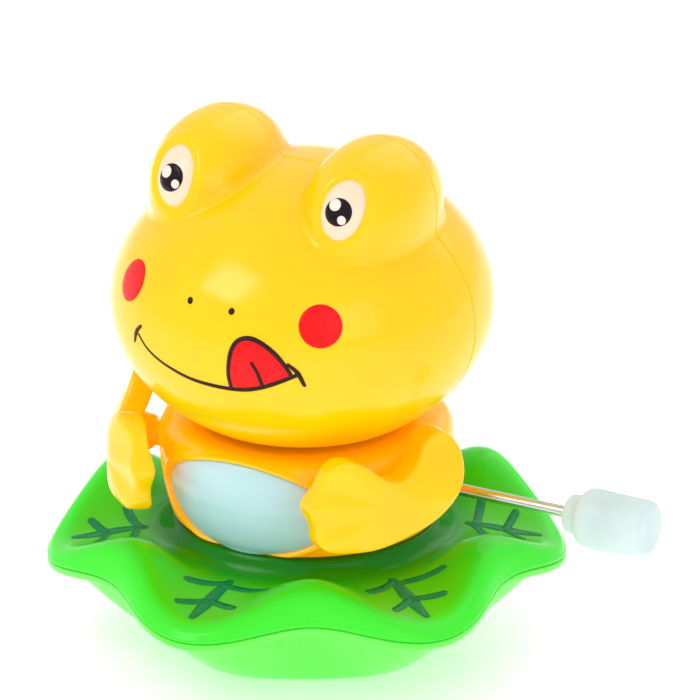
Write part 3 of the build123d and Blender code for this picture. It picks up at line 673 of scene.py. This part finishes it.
def inside(polygon, a, b):
    following = np.roll(polygon, -1, axis=0)
    crosses = (polygon[:, 1] > b) != (following[:, 1] > b)
    slope = (following[:, 0] - polygon[:, 0]) / np.where(crosses, following[:, 1] - polygon[:, 1], 1)
    return bool(np.sum(crosses & (a < slope * (b - polygon[:, 1]) + polygon[:, 0])) % 2)


def patch(name, loops, place, material, body, step=0.8, lift=0.06, skirt=0.12):
    """Thin printed patch: each 2-D loop is filled, laid on a surface by place(a, b, lift) and edged."""
    points, faces = [], []
    for index, loop in enumerate(loops):
        flat, triangles = fill_loop(loop, step)
        base = len(points)
        layer = lift + 0.012 * index
        points += [place(a, b, layer) for a, b in flat]
        faces += [tuple(base + k for k in face) for face in triangles]
        under = len(points)
        points += [place(a, b, layer - skirt) for a, b in flat]
        faces += [tuple(under + k for k in reversed(face)) for face in triangles]
        counts = {}
        for face in triangles:
            for k in range(len(face)):
                a, b = face[k], face[(k + 1) % len(face)]
                counts.setdefault(frozenset((a, b)), []).append((a, b))
        for pairs in counts.values():
            if len(pairs) == 1:
                a, b = pairs[0]
                faces.append((base + b, base + a, under + a, under + b))
    piece = make_piece(name, points, faces, material, body)
    for face in piece.data.polygons:
        face.use_smooth = face.loop_total == 3
    return piece


def build_veins():
    for index in range(6):
        angle = math.radians(30 + 60 * index)

        def place(radius, side, lift, angle=angle):
            x = radius * math.cos(angle) - side * math.sin(angle)
            y = radius * math.sin(angle) + side * math.cos(angle)
            return (x, y, leaf_level(math.hypot(x, y), math.atan2(y, x)) + lift)

        midrib = ribbon(smooth_line([(29.8, 0.3), (33.0, 0.1), (37.0, -0.1), (42.6, -0.3)], 30),
                        [0.85, 1.0, 1.25, 1.4, 1.4, 1.25, 1.0, 0.7])
        bars = [
            midrib,
            ribbon(smooth_line([(31.2, 0.4), (31.6, 3.5), (32.6, 9.4)], 20), [0.75, 0.8, 0.85, 0.75]),
            ribbon(smooth_line([(30.6, -0.4), (31.6, -2.4), (33.0, -6.6)], 20), [0.7, 0.8, 0.9, 0.8]),
            ribbon(smooth_line([(36.6, 0.5), (37.4, 2.8), (38.6, 6.0)], 16), [0.65, 0.72, 0.75, 0.65]),
            ribbon(smooth_line([(36.8, -0.5), (37.8, -2.0), (39.6, -5.0)], 16), [0.65, 0.75, 0.75, 0.65]),
        ]
        patch(f"leaf_vein_{index + 1}", bars, place, INK_TEAL, "base", lift=0.03, skirt=0.1)


# ================================================================ head
def power_distance(points, centre, size, power):
    q = np.abs((points - centre) / size)
    g = np.maximum((q**power).sum(-1) ** (1 / power), 1e-6)
    return (g - 1) * np.linalg.norm(points - centre, axis=-1) / g


def blend_min(a, b, k):
    h = np.clip(0.5 + 0.5 * (b - a) / k, 0, 1)
    return b * (1 - h) + a * h - k * h * (1 - h)


def head_field(points):
    """Negative inside the head and its two eye domes."""
    field = power_distance(points, HEAD_CENTRE, HEAD_SIZE, 2.0)
    for side in (-1, 1):
        centre = DOME_CENTRE * [side, 1, 1]
        field = blend_min(field, power_distance(points, centre, DOME_SIZE, DOME_POWER), DOME_BLEND)
    return field


def reach(origins, directions, low, high, field=head_field):
    """Where each ray leaves the form, by halving between two distances."""
    low = np.full(len(origins), float(low))
    high = np.full(len(origins), float(high))
    for _ in range(34):
        middle = (low + high) / 2
        within = field(origins + directions * middle[:, None]) < 0
        low = np.where(within, middle, low)
        high = np.where(within, high, middle)
    return (low + high) / 2


def eye_axes(side):
    """The eye oval's centre, its outward normal and its two in-plane axes."""
    normal = np.array([0.10 * side, -math.cos(EYE_PITCH), math.sin(EYE_PITCH)])
    normal /= np.linalg.norm(normal)
    across = np.cross([0, 0, 1], normal)
    across /= -np.linalg.norm(across)
    across = across if across[0] > 0 else -across
    up = np.cross(normal, across)
    up = up if up[2] > 0 else -up
    tilt = EYE_TILT * side
    turned_up = math.cos(tilt) * up + math.sin(tilt) * across
    turned_across = math.cos(tilt) * across - math.sin(tilt) * up
    return EYE_CENTRE * [side, 1, 1], normal, turned_across, turned_up


def eye_relief(points):
    """Depth of the soft socket around each eye oval."""
    depth = np.zeros(len(points))
    for side in (-1, 1):
        centre, normal, across, up = eye_axes(side)
        offset = points - centre
        a, b = offset @ across, offset @ up
        oval = np.hypot(a / EYE_HALF[0], b / EYE_HALF[1])
        near = np.where(offset @ normal > -6, 1.0, 0.0)
        socket = -0.5 * (1 - smoothstep(1.0, 1.22, oval))
        brow = 0.22 * np.exp(-((oval - 1.36) / 0.16) ** 2)
        depth += near * (socket + brow)
    return depth


def head_points(polar, around):
    """Surface points for angles from the face's axis and around it."""
    u, v = np.meshgrid(polar, around, indexing="ij")
    directions = np.stack([np.sin(u) * np.cos(v), -np.cos(u), np.sin(u) * np.sin(v)], -1).reshape(-1, 3)
    origins = np.repeat(STAR[None], len(directions), 0)
    distance = reach(origins, directions, 5, 70)
    points = origins + directions * distance[:, None]
    seam = -0.16 * np.exp(-((points[:, 1] / 0.22) ** 2))
    return points + directions * (eye_relief(points) + seam)[:, None]


def build_head_half(name, front, node):
    edge = np.array([0.9, 0.6, 0.42, 0.3, 0.2, 0.12, 0.05, 0.0]) / 35.0
    polar = np.concatenate([np.linspace(0.004, math.pi / 2 - 0.035, 150), math.pi / 2 - edge])
    if not front:
        polar = math.pi - polar
    around = np.linspace(0, 2 * math.pi, 420, endpoint=False)
    points = head_points(polar, around)
    faces = grid_faces(len(polar), len(around), False, True)
    cap = len(points)
    points = np.vstack([points, points[: len(around)].mean(0)])
    faces += [(k, (k + 1) % len(around), cap) for k in range(len(around))]
    piece = make_piece(name + "_blank", points, faces, MATERIALS["frog_yellow"], "head")
    work = bmesh.new()
    work.from_mesh(piece.data)
    geometry = work.verts[:] + work.edges[:] + work.faces[:]
    bmesh.ops.bisect_plane(
        work, geom=geometry, plane_co=(0, 0, HEAD_BOTTOM * MM), plane_no=(0, 0, -1), clear_outer=True
    )
    work.to_mesh(piece.data)
    work.free()
    shell = piece.modifiers.new("shell", "SOLIDIFY")
    shell.thickness = 1.8 * MM
    shell.offset = -1
    shell.use_even_offset = True
    cuts = [] if front else [bore_y(spot, RECESS_RADIUS, HEAD_SEAT, 45) for spot in HEAD_SCREWS]
    place_mesh(name, drill(piece, cuts), MATERIALS["frog_yellow"], "head", (node,))


def on_face(x, z, lift):
    """Point on the front of the head straight behind (x, z)."""
    origin = np.array([[x, -4.0, z]])
    distance = reach(origin, np.array([[0.0, -1.0, 0.0]]), 0, 60)[0]
    point = np.array([x, -4.0 - distance, z])
    normal = (point - HEAD_CENTRE) / HEAD_SIZE**2
    normal /= np.linalg.norm(normal)
    return tuple(point + normal * lift)


def ribbon(points, half_widths):
    """Closed outline of a line with varying half-width and rounded ends."""
    p = np.array(points, float)
    step = np.gradient(p, axis=0)
    step /= np.linalg.norm(step, axis=1)[:, None]
    side = np.stack([-step[:, 1], step[:, 0]], 1)
    half = np.interp(np.linspace(0, 1, len(p)), np.linspace(0, 1, len(half_widths)), half_widths)[:, None]
    left, right = p + side * half, p - side * half
    cap = [(math.cos(t), math.sin(t)) for t in (0.8, 1.57, 2.34)]
    cap_end = [p[-1] + half[-1] * (c * side[-1] + s * step[-1]) for c, s in cap]
    cap_start = [p[0] + half[0] * (-c * side[0] - s * step[0]) for c, s in cap]
    return [tuple(q) for side_points in (left, cap_end, right[::-1], cap_start) for q in side_points]


def rear_of_head(x, z):
    return -4.0 + reach(np.array([[x, -4.0, z]]), np.array([[0.0, 1.0, 0.0]]), 0, 60)[0]


def build_head_recesses():
    for side, spot in zip(("left", "right"), HEAD_SCREWS):
        screw_cup("head_recess_" + side, spot, HEAD_SEAT, rear_of_head, "head")


def build_face_prints():
    mouth = [
        (-17.1, 67.5), (-14.8, 65.7), (-11.7, 64.4), (-7.8, 63.4), (-4.1, 62.7), (0.4, 62.4), (4.5, 62.4),
        (7.3, 62.7), (10.3, 63.6), (13.2, 64.9), (16.0, 66.3),
    ]
    tongue = [
        (4.2, 62.8), (3.9, 65.2), (4.0, 67.8), (4.5, 70.5), (5.7, 72.2), (7.7, 72.7), (10.2, 71.8),
        (12.8, 69.8), (14.8, 67.0), (15.2, 65.9),
    ]
    mouth_line = smooth_line(mouth, 60)
    tongue_line = smooth_line(tongue, 60)
    lower = mouth_line[(mouth_line[:, 0] > 4.2) & (mouth_line[:, 0] < 15.1)][::-1]
    fill = [tuple(p) for p in tongue_line] + [tuple(p) for p in lower]
    patch("tongue_print", [fill], on_face, INK_RED, "head", lift=0.05)
    lines = [
        ribbon(mouth_line, [0.20, 0.24, 0.30, 0.36, 0.40, 0.40, 0.36]),
        ribbon(tongue_line, [0.34, 0.36, 0.42, 0.42, 0.40, 0.32]),
        ribbon(smooth_line([(8.3, 68.2), (9.4, 66.3), (10.1, 63.9)], 16), [0.32, 0.34, 0.36]),
        ribbon(smooth_line([(-16.5, 69.3), (-17.7, 67.8), (-18.3, 65.6)], 14), [0.26, 0.40, 0.22]),
        ribbon(smooth_line([(14.6, 68.4), (16.2, 66.8), (17.2, 64.3)], 14), [0.28, 0.40, 0.30]),
    ]
    patch("mouth_print", lines, on_face, INK_BLACK, "head", step=0.6, lift=0.08)
    for name, spot in (("right", (-21.1, 75.6)), ("left", (19.0, 75.2))):
        centre = np.array(on_face(*spot, 0.0))
        disc = round_outline((0, 0), 4.0, 64)
        patch("cheek_print_" + name, [disc], tangent_place(centre), INK_RED, "head", lift=0.05)
    nostrils = [round_outline(spot, 0.58, 24) for spot in ((-5.5, 77.0), (3.3, 76.8))]
    patch("nostril_prints", nostrils, on_face, INK_BLACK, "head", step=0.4, lift=0.05)


def tangent_place(centre):
    """Lays flat (a, b) coordinates on the head around a point, along the surface normal there."""
    normal = (centre - HEAD_CENTRE) / HEAD_SIZE**2
    normal /= np.linalg.norm(normal)
    across = np.cross([0, 0, 1], normal)
    across /= np.linalg.norm(across)
    up = np.cross(normal, across)

    def place(a, b, lift):
        origin = centre + a * across + b * up - normal * 6
        distance = reach(origin[None], normal[None], 0, 14)[0]
        return tuple(origin + normal * (distance + lift))

    return place


def eye_surface(side, a, b, lift):
    centre, normal, across, up = eye_axes(side)
    origin = centre + a * across + b * up - normal * 6
    distance = reach(origin[None], normal[None], 0, 14)[0]
    return origin + normal * (distance + lift)


def build_eye(side):
    name = "left" if side > 0 else "right"
    rings = [
        (0.0, -0.06), (0.2, -0.07), (0.4, -0.09), (0.6, -0.13), (0.75, -0.18), (0.86, -0.24), (0.93, -0.32),
        (0.975, -0.44), (1.0, -0.62), (1.005, -1.1),
    ]
    count = 72
    points = []
    for scale, lift in rings:
        for k in range(count):
            t = 2 * math.pi * k / count
            radius = max(scale, 0.002)
            across, up = EYE_HALF[0] * radius * math.cos(t), EYE_HALF[1] * radius * math.sin(t)
            points.append(eye_surface(side, across, up, lift))
    faces = grid_faces(len(rings), count, False, True)
    faces.append(tuple(range(count)))
    faces.append(tuple(range((len(rings) - 1) * count, len(rings) * count)))
    cream = MATERIALS["eye_cream"]
    make_piece("eye_oval_" + name, points, faces, cream, "head", ("eye_insert_" + name,))

    def place(a, b, lift):
        oval = math.hypot(a / EYE_HALF[0], b / EYE_HALF[1])
        scales, lifts = zip(*rings)
        return eye_surface(side, a, b, float(np.interp(oval, scales, lifts)) + lift)

    pupil = (-0.35, -0.5)
    patch("pupil_" + name, [round_outline(pupil, 2.6, 56)], place, INK_PUPIL, "head", step=0.6, lift=0.05)
    glints = [
        round_outline((pupil[0] - 1.0, pupil[1] + 1.05), 1.15, 32),
        round_outline((pupil[0] + 1.15, pupil[1] - 1.2), 0.82, 28),
    ]
    patch("glints_" + name, glints, place, INK_WHITE, "head", step=0.4, lift=0.10)


# ================================================================ body
def body_radius(height):
    outer = [(24.7, 24.6)] + [(r, z) for r, z in BODY_PROFILE if 25.0 < z < 44.0]
    return float(np.interp(height, [z for _, z in outer], [r for r, _ in outer]))


def rear_of_body(x, z):
    return math.sqrt(body_radius(z) ** 2 - x * x)


def build_body():
    profile = smooth_line(BODY_PROFILE, 150)
    for name, start, node in (("front", math.pi, "body_front"), ("rear", 0.0, "body_rear")):
        edge = np.array([0.0, 0.05, 0.12, 0.2, 0.3, 0.45, 0.7]) / 27
        angles = np.concatenate([edge, np.linspace(0.04, math.pi - 0.04, 170), math.pi - edge[::-1]]) + start
        points = []
        for angle in angles:
            direction = np.array([math.cos(angle), math.sin(angle)])
            seam = -0.14 * math.exp(-((27 * direction[1] / 0.22) ** 2))
            for r, z in profile:
                grow = seam
                if direction[1] < 0 and 24.9 < z < 44.0:
                    oval = math.hypot(r * direction[0] / BELLY_HALF[0], (z - BELLY_HEIGHT) / BELLY_HALF[1])
                    lip = LIP_HEIGHT * math.exp(-(((oval - 1.06) / 0.045) ** 2))
                    grow += lip - BELLY_RECESS * (1 - float(smoothstep(0.96, 1.02, oval)))
                points.append(((r + grow) * direction[0], (r + grow) * direction[1], z))
        faces = grid_faces(len(angles), len(profile), False, False)
        piece = make_piece("body_blank", points, faces, MATERIALS["frog_yellow"], "base")
        shell = piece.modifiers.new("shell", "SOLIDIFY")
        shell.thickness = 0.9 * MM
        shell.offset = -1
        cuts = [bore_x((0.0, WINDING_HEIGHT), 1.6, 20, 30)]
        if name == "front":
            cuts += [bore_x(ARM_PIVOT, 2.3, low, low + 14) for low in (-32, 18)]
        else:
            cuts += [bore_y(spot, RECESS_RADIUS, BODY_SEAT, 30) for spot in BODY_SCREWS]
        skin = drill(piece, cuts, folded=True)
        place_mesh("body_" + name + "_skin", skin, MATERIALS["frog_yellow"], "base", (node,))
    for side, spot in zip(("left", "right"), BODY_SCREWS):
        screw_cup("body_recess_" + side, spot, BODY_SEAT, rear_of_body, "base")


def build_belly():
    rings = [
        (0.0, 0.30), (0.3, 0.27), (0.5, 0.22), (0.7, 0.14), (0.82, 0.07), (0.90, 0.0), (0.95, -0.08),
        (0.985, -0.22), (1.0, -0.5), (1.0, -1.0),
    ]
    count = 120
    points = []
    for scale, lift in rings:
        for k in range(count):
            t = 2 * math.pi * k / count
            radius = max(scale, 0.002)
            x = BELLY_HALF[0] * radius * math.cos(t)
            z = BELLY_HEIGHT + BELLY_HALF[1] * radius * math.sin(t)
            r = body_radius(z) + lift
            points.append((x, -math.sqrt(r * r - x * x), z))
    faces = grid_faces(len(rings), count, False, True)
    faces.append(tuple(range(count)))
    faces.append(tuple(range((len(rings) - 1) * count, len(rings) * count)))
    make_piece("belly_oval", points, faces, MATERIALS["belly_blue"], "base", ("belly_panel",))


# ================================================================ arms
ARM_OUTLINE = [
    (14.8, 30.6), (17.4, 32.4), (17.8, 35.4), (19.2, 39.6), (17.4, 43.0), (15.6, 46.8), (12.8, 48.8),
    (9.4, 47.4), (5.0, 43.8), (1.0, 42.8), (-3.0, 45.0), (-5.6, 48.2), (-9.4, 49.0), (-12.8, 45.6),
    (-12.6, 41.0), (-9.8, 36.8), (-5.0, 33.8), (1.4, 31.8), (9.2, 30.4),
]
WRIST = (4.0, 38.4)
FINGERS = [(13.8, 47.4), (18.4, 39.8), (15.6, 32.2)]


def arm_world(u, w, z, side):
    """Arm coordinates (forward, outward, up) to the row frame."""
    normal = np.array([math.cos(ARM_YAW), math.sin(ARM_YAW)])
    forward = np.array([normal[1], -normal[0]])
    flat = normal * (ARM_INNER + w) + forward * u
    return (side * flat[0], flat[1], z)


def segment_distance(u, z, a, b):
    a, b = np.array(a), np.array(b)
    along = b - a
    t = np.clip(((u - a[0]) * along[0] + (z - a[1]) * along[1]) / (along @ along), 0, 1)
    return np.hypot(u - a[0] - t * along[0], z - a[1] - t * along[1])


def arm_blank():
    """Rounded J-shaped slab with webbed fingers, in arm coordinates."""
    loop = smooth_loop(ARM_OUTLINE, 8)
    points, faces = prism([tuple(p) for p in loop], 0.0, ARM_THICKNESS)
    slab = cutter(points, faces)
    rounding = slab.modifiers.new("melt", "REMESH")
    rounding.mode = "VOXEL"
    rounding.voxel_size = 0.34 * MM
    soft = slab.modifiers.new("soft", "SMOOTH")
    soft.factor = 0.5
    soft.iterations = 22
    return baked_mesh(slab)


def build_arm(side, blank):
    name = "left" if side > 0 else "right"
    mesh = blank.copy()
    co = np.zeros(len(mesh.vertices) * 3)
    mesh.vertices.foreach_get("co", co)
    u, z, w = (co.reshape(-1, 3) / MM).T
    outer = smoothstep(1.5, 4.0, w)
    inner = 1 - outer
    ridge = np.zeros(len(u))
    for finger in FINGERS:
        ridge = np.maximum(ridge, np.exp(-((segment_distance(u, z, WRIST, finger) / 2.3) ** 2)))
    hand = smoothstep(3.0, 12.0, u)
    w = w + hand * (outer * (0.9 * ridge - 0.9) + inner * (0.9 - 0.5 * ridge))
    w = w - 4.6 * smoothstep(5.0, 20.0, u) ** 1.4
    w = w - 4.2 * smoothstep(37.0, 49.0, z) * (1 - smoothstep(-3.0, 6.0, u))
    w = w - 1.0 * smoothstep(-4.0, -13.0, u)
    points = [arm_world(a, b, c, side) for a, b, c in zip(u, w, z)]
    mesh.vertices.foreach_set("co", (np.array(points) * MM).ravel())
    if side > 0:
        mesh.flip_normals()
    yellow = MATERIALS["frog_yellow"]
    place_mesh("arm_skin_" + name, mesh, yellow, name + "_arm", ("arm_" + name,))
    build_shoulder(side, name)


def build_shoulder(side, name):
    """Flared boss and stub that carry the arm in the body's side."""
    profile = [
        (18.6, 0.01), (18.6, 2.0), (18.8, 2.2), (26.3, 2.2), (26.5, 3.1), (26.9, 3.4), (28.5, 3.5),
        (30.5, 3.9), (31.6, 4.2), (32.0, 0.01),
    ]
    points = []
    for k in range(48):
        t = 2 * math.pi * k / 48
        c, s = math.cos(t), math.sin(t)
        points += [(side * x, ARM_PIVOT[0] + r * c, ARM_PIVOT[1] + r * s) for x, r in profile]
    faces = grid_faces(48, len(profile), True, False)
    make_piece("shoulder_" + name, points, faces, MATERIALS["frog_yellow"], name + "_arm")


# ================================================================ knob
def build_knob():
    profile = [
        (54.7, 1.14), (54.7, 2.9), (54.85, 3.3), (55.3, 3.6), (56.6, 3.7), (57.2, 3.75), (57.55, 4.0),
        (57.75, 4.6), (58.2, 5.15), (59.0, 5.45), (60.2, 5.55), (65.0, 5.5), (69.8, 5.42), (70.7, 5.3),
        (71.2, 4.95), (71.45, 4.4), (71.5, 3.5), (71.5, 0.01),
    ]
    line = smooth_line(profile, 90)
    points = []
    for k in range(120):
        t = 2 * math.pi * k / 120
        c, s = math.cos(t), math.sin(t)
        points += [(x, max(r, 0.0) * c, WINDING_HEIGHT + max(r, 0.0) * s) for x, r in line]
    faces = grid_faces(120, len(line), True, False)
    white = MATERIALS["knob_white"]
    make_piece("knob_skin", points, faces, white, "winder", ("winding_knob",))


# ================================================================ CAD pieces that stay
def dress_frame():
    slots = {entry["node"]: entry["material_slot"] for entry in frame["record"]["subparts"]}
    for node, piece in frame["nodes"].items():
        material = MATERIALS[slots[node]]
        if piece.data.materials:
            for index in range(len(piece.data.materials)):
                piece.data.materials[index] = material
        else:
            piece.data.materials.append(material)


# ================================================================ studio
def build_studio():
    """Pale floor, not seen from below, a white sky and three soft lights."""
    n = Nodes("studio_floor")
    drift = n.ramp(n.noise(6.0, 2.0), [(0.3, srgb(250, 250, 250)), (0.7, srgb(255, 255, 255))])
    n.set(Base_Color=drift, Roughness=0.35)
    n.set(Emission_Color=(1.0, 1.0, 1.0, 1.0), Emission_Strength=0.4)
    see_through = n.add("ShaderNodeBsdfTransparent")
    side = n.add("ShaderNodeNewGeometry")
    choose = n.add("ShaderNodeMixShader")
    n.join(side.outputs["Backfacing"], choose.inputs[0])
    n.join(n.shader.outputs[0], choose.inputs[1])
    n.join(see_through.outputs[0], choose.inputs[2])
    n.join(choose.outputs[0], n.tree.nodes["Material Output"].inputs["Surface"])
    rings = (0.0005, 0.3, 0.8, 1.6)
    turns = [2 * math.pi * k / FLOOR_SIDES for k in range(FLOOR_SIDES)]
    points = [(r * math.cos(t), r * math.sin(t), FLOOR_LEVEL) for r in rings for t in turns]
    mesh = bpy.data.meshes.new("studio_floor")
    faces = [tuple(reversed(face)) for face in grid_faces(len(rings), FLOOR_SIDES, False, True)]
    mesh.from_pydata(points, [], faces + [tuple(range(FLOOR_SIDES))])
    mesh.materials.append(n.material)
    floor = bpy.data.objects.new("studio_floor", mesh)
    bpy.context.scene.collection.objects.link(floor)

    world = bpy.data.worlds.new("studio")
    world.use_nodes = True
    sky = world.node_tree.nodes["Background"]
    sky.inputs["Color"].default_value = (1, 1, 1, 1)
    seen = world.node_tree.nodes.new("ShaderNodeLightPath")
    level = world.node_tree.nodes.new("ShaderNodeMapRange")
    level.inputs["To Min"].default_value = 0.82
    level.inputs["To Max"].default_value = 1.0
    world.node_tree.links.new(seen.outputs["Is Camera Ray"], level.inputs["Value"])
    world.node_tree.links.new(level.outputs["Result"], sky.inputs["Strength"])
    bpy.context.scene.world = world
    for name, place, width, power in (
        ("key", (-0.35, -0.55, 0.75), 0.4, 2.1),
        ("fill", (0.75, -0.45, 0.45), 0.5, 0.8),
        ("back", (0.1, 0.6, 0.6), 0.7, 1.2),
    ):
        light = bpy.data.lights.new(name, "AREA")
        light.energy = power
        light.size = width
        lamp = bpy.data.objects.new(name, light)
        lamp.location = place
        lamp.rotation_mode = "QUATERNION"
        lamp.rotation_quaternion = (Vector((0, 0, 0.06)) - Vector(place)).to_track_quat("-Z", "Y")
        bpy.context.scene.collection.objects.link(lamp)
    bpy.context.scene.view_settings.view_transform = "Standard"
    bpy.context.scene.view_settings.exposure = 0.0


def build_camera():
    """Long-lens camera at the photo's viewing angle."""
    data = bpy.data.cameras.new("camera")
    data.sensor_width = 36
    data.lens = CAMERA_LENS
    camera = bpy.data.objects.new("camera", data)
    target = Vector(CAMERA_TARGET) * MM
    azimuth, elevation, distance = CAMERA_AZIMUTH, CAMERA_ELEVATION, CAMERA_DISTANCE
    level = math.cos(elevation)
    back = Vector((math.sin(azimuth) * level, -math.cos(azimuth) * level, math.sin(elevation)))
    camera.location = target + back * distance
    camera.rotation_mode = "QUATERNION"
    camera.rotation_quaternion = (-back).to_track_quat("-Z", "Y")
    bpy.context.scene.collection.objects.link(camera)
    bpy.context.scene.camera = camera


dress_frame()
build_leaf()
build_bowl()
build_veins()
build_head_half("head_front_skin", True, "head_front")
build_head_half("head_rear_skin", False, "head_rear")
build_head_recesses()
build_face_prints()
for eye_side in (-1, 1):
    build_eye(eye_side)
build_body()
build_belly()
blank_arm = arm_blank()
for arm_side in (-1, 1):
    build_arm(arm_side, blank_arm)
build_knob()
build_studio()
build_camera()
